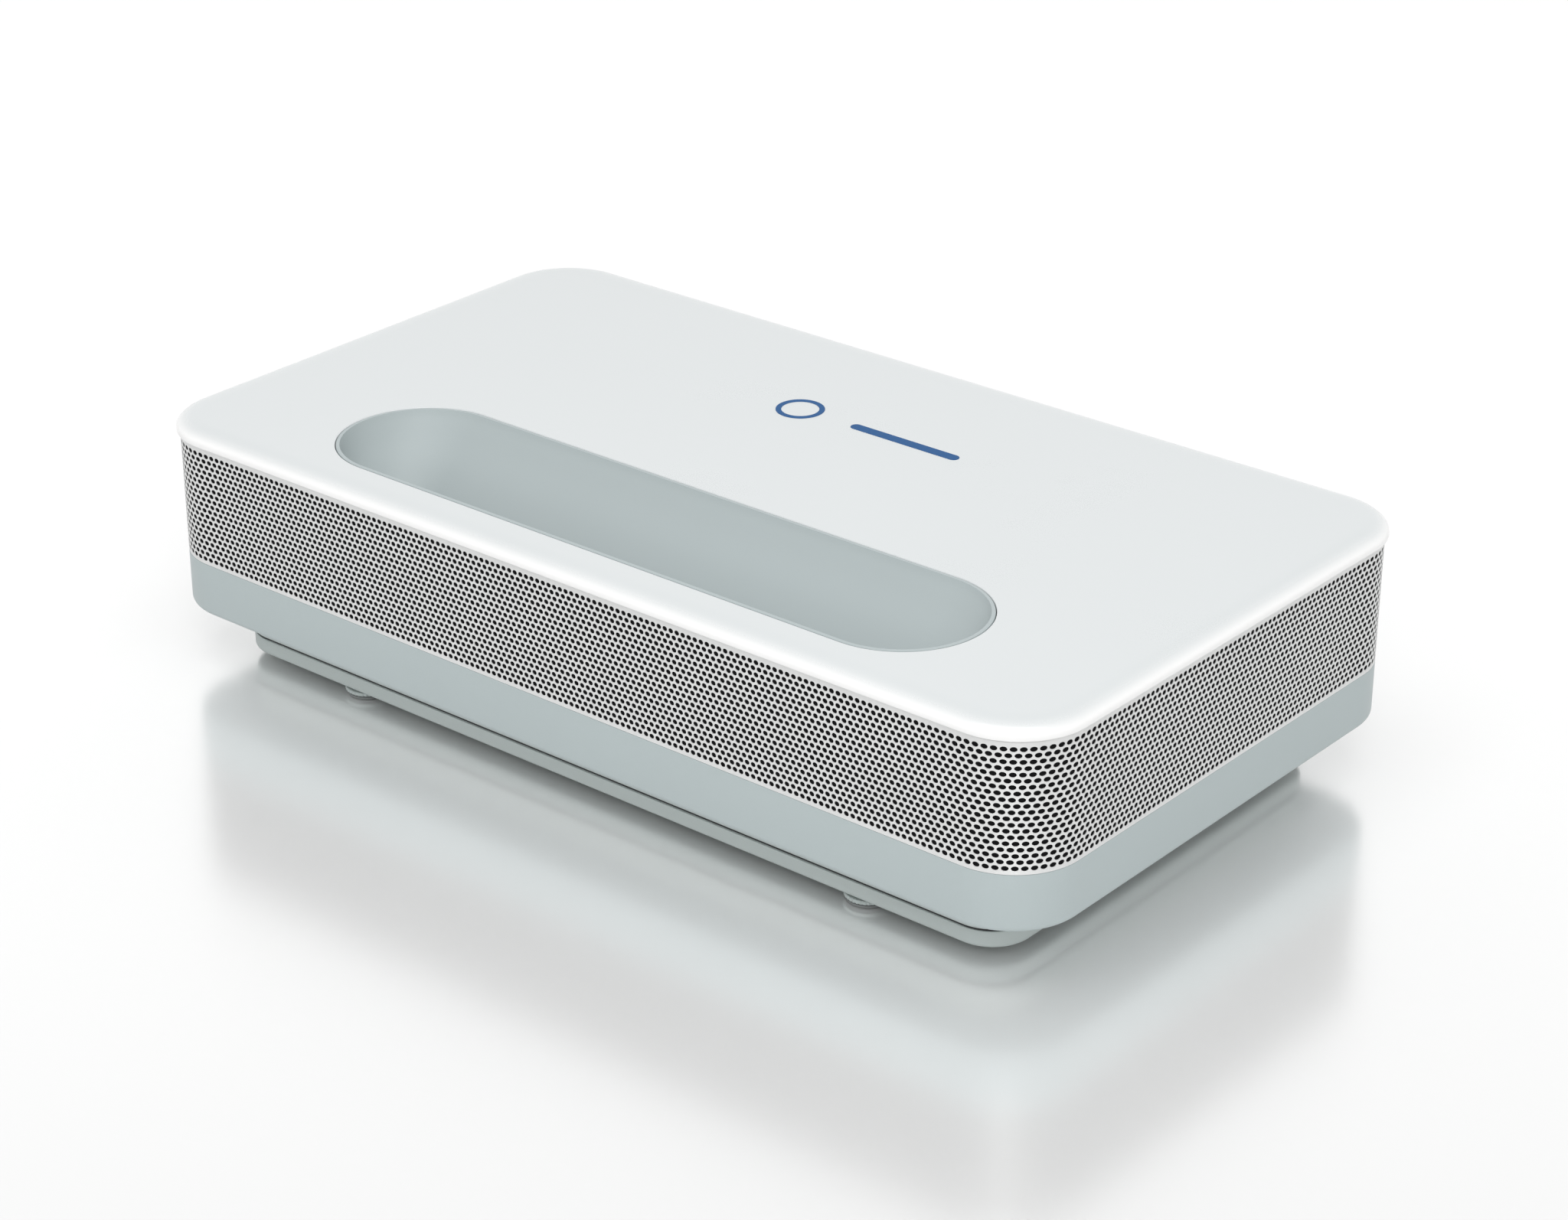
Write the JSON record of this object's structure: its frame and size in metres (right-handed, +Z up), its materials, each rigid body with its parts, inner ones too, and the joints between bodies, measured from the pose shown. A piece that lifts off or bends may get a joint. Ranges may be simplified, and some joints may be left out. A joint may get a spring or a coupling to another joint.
{
  "type": "ultra-short-throw projector",
  "caption": "Low slab-shaped projector with rounded corners, a long recessed light well in the white cover, a perforated metal band, and a grey shell on an inset plinth.",
  "frame": {"origin": "on the floor, under the middle of the case", "axes": "+X along the long side to the viewer's right, +Y away from the viewer towards the socket panel, +Z up"},
  "size_m": [0.465, 0.259, 0.1112],
  "materials": {
    "cover_white": "satin white moulded cover",
    "liner_grey": "satin grey moulded liner",
    "window_glass": "clear coated glass",
    "mark_blue": "printed blue",
    "grille_metal": "perforated, satin silver",
    "shell_grey": "satin light grey",
    "plinth_grey": "satin light grey",
    "dark_plastic": "black moulded",
    "rubber": "grey rubber",
    "steel": "plated steel",
    "zinc_steel": "zinc plated sheet",
    "aluminium": "bare aluminium",
    "copper": null,
    "board": "green circuit board",
    "mirror_silver": "front silvered",
    "lens_glass": "coated lens glass",
    "brass": "brass coloured metal"
  },
  "bodies": {
    "case": {"top_cover": "cover_white", "well_liner": "liner_grey", "exit_window": "window_glass", "mark_ring": "mark_blue", "mark_bar": "mark_blue", "grille_band": "grille_metal", "lower_shell": "shell_grey", "base_plinth": "plinth_grey", "chassis_plate": "zinc_steel", "io_panel": "dark_plastic", "power_inlet": "dark_plastic", "lan_socket": "zinc_steel", "usb_socket_1": "zinc_steel", "usb_socket_2": "zinc_steel", "hdmi_socket_1": "zinc_steel", "hdmi_socket_2": "zinc_steel", "optical_socket": "dark_plastic", "audio_socket": "dark_plastic", "main_board": "board", "power_supply": "board", "laser_driver_board": "board", "wireless_board": "board", "engine_housing": "aluminium", "engine_lid": "aluminium", "laser_module": "brass", "laser_heatsink": "aluminium", "heat_pipe_1": "copper", "heat_pipe_2": "copper", "chip_board": "board", "chip_cooler": "aluminium", "lens_barrel": "aluminium", "front_lens": "lens_glass", "focus_motor": "steel", "mirror_bracket": "zinc_steel", "mirror": "mirror_silver", "fan_left_frame": "dark_plastic", "fan_right_frame": "dark_plastic", "speaker_box_left": "dark_plastic", "speaker_box_right": "dark_plastic", "speaker_driver_left": "dark_plastic", "speaker_driver_right": "dark_plastic", "case_screw_front_left": "steel", "case_screw_front_right": "steel", "case_screw_rear_left": "steel", "case_screw_rear_right": "steel"},
    "power_button": {"power_button": "shell_grey"},
    "focus_ring": {"focus_ring": "brass"},
    "focus_pinion": {"focus_pinion": "brass"},
    "fan_left_rotor": {"fan_left_rotor": "dark_plastic"},
    "fan_right_rotor": {"fan_right_rotor": "dark_plastic"},
    "foot_pad_front_left": {"foot_pad_front_left": "rubber"},
    "foot_screw_front_left": {"foot_screw_front_left": "plinth_grey"},
    "foot_pad_front_right": {"foot_pad_front_right": "rubber"},
    "foot_screw_front_right": {"foot_screw_front_right": "plinth_grey"},
    "foot_pad_rear_left": {"foot_pad_rear_left": "rubber"},
    "foot_screw_rear_left": {"foot_screw_rear_left": "plinth_grey"},
    "foot_pad_rear_right": {"foot_pad_rear_right": "rubber"},
    "foot_screw_rear_right": {"foot_screw_rear_right": "plinth_grey"}
  },
  "joints": [
    {"name": "power_button_press", "type": "slide", "parent": "case", "child": "power_button", "axis": [0, -1, 0], "range_m": [0, 0.0012], "stiffness_N_per_m": 600},
    {"name": "focus_ring_turn", "type": "hinge", "parent": "case", "child": "focus_ring", "pos_m": [0, -0.034, 0.046], "axis": [0, -1, 0], "range_deg": [-20, 20]},
    {"name": "focus_pinion_turn", "type": "hinge", "parent": "case", "child": "focus_pinion", "pos_m": [0.0241, -0.034, 0.046], "axis": [0, -1, 0], "range_deg": [-80, 80]},
    {"name": "fan_left_spin", "type": "hinge", "parent": "case", "child": "fan_left_rotor", "pos_m": [-0.2058, 0, 0.0633], "axis": [-1, 0, 0], "continuous": true},
    {"name": "fan_right_spin", "type": "hinge", "parent": "case", "child": "fan_right_rotor", "pos_m": [0.2058, 0, 0.0633], "axis": [1, 0, 0], "continuous": true},
    {"name": "foot_front_left_extend", "type": "slide", "parent": "case", "child": "foot_pad_front_left", "axis": [0, 0, -1], "range_m": [0, 0.005]},
    {"name": "foot_front_left_turn", "type": "hinge", "parent": "foot_pad_front_left", "child": "foot_screw_front_left", "pos_m": [-0.136, -0.0995, 0.002], "axis": [0, 0, -1], "range_deg": [0, 1440]},
    {"name": "foot_front_right_extend", "type": "slide", "parent": "case", "child": "foot_pad_front_right", "axis": [0, 0, -1], "range_m": [0, 0.005]},
    {"name": "foot_front_right_turn", "type": "hinge", "parent": "foot_pad_front_right", "child": "foot_screw_front_right", "pos_m": [0.136, -0.0995, 0.002], "axis": [0, 0, -1], "range_deg": [0, 1440]},
    {"name": "foot_rear_left_extend", "type": "slide", "parent": "case", "child": "foot_pad_rear_left", "axis": [0, 0, -1], "range_m": [0, 0.005]},
    {"name": "foot_rear_left_turn", "type": "hinge", "parent": "foot_pad_rear_left", "child": "foot_screw_rear_left", "pos_m": [-0.136, 0.0995, 0.002], "axis": [0, 0, -1], "range_deg": [0, 1440]},
    {"name": "foot_rear_right_extend", "type": "slide", "parent": "case", "child": "foot_pad_rear_right", "axis": [0, 0, -1], "range_m": [0, 0.005]},
    {"name": "foot_rear_right_turn", "type": "hinge", "parent": "foot_pad_rear_right", "child": "foot_screw_rear_right", "pos_m": [0.136, 0.0995, 0.002], "axis": [0, 0, -1], "range_deg": [0, 1440]}
  ],
  "couplings": [
    {"joint": "focus_pinion_turn", "follows": "focus_ring_turn", "ratio": -4},
    {"joint": "foot_front_left_turn", "follows": "foot_front_left_extend", "rad_per_m": 5026.5},
    {"joint": "foot_front_right_turn", "follows": "foot_front_right_extend", "rad_per_m": 5026.5},
    {"joint": "foot_rear_left_turn", "follows": "foot_rear_left_extend", "rad_per_m": 5026.5},
    {"joint": "foot_rear_right_turn", "follows": "foot_rear_right_extend", "rad_per_m": 5026.5}
  ]
}
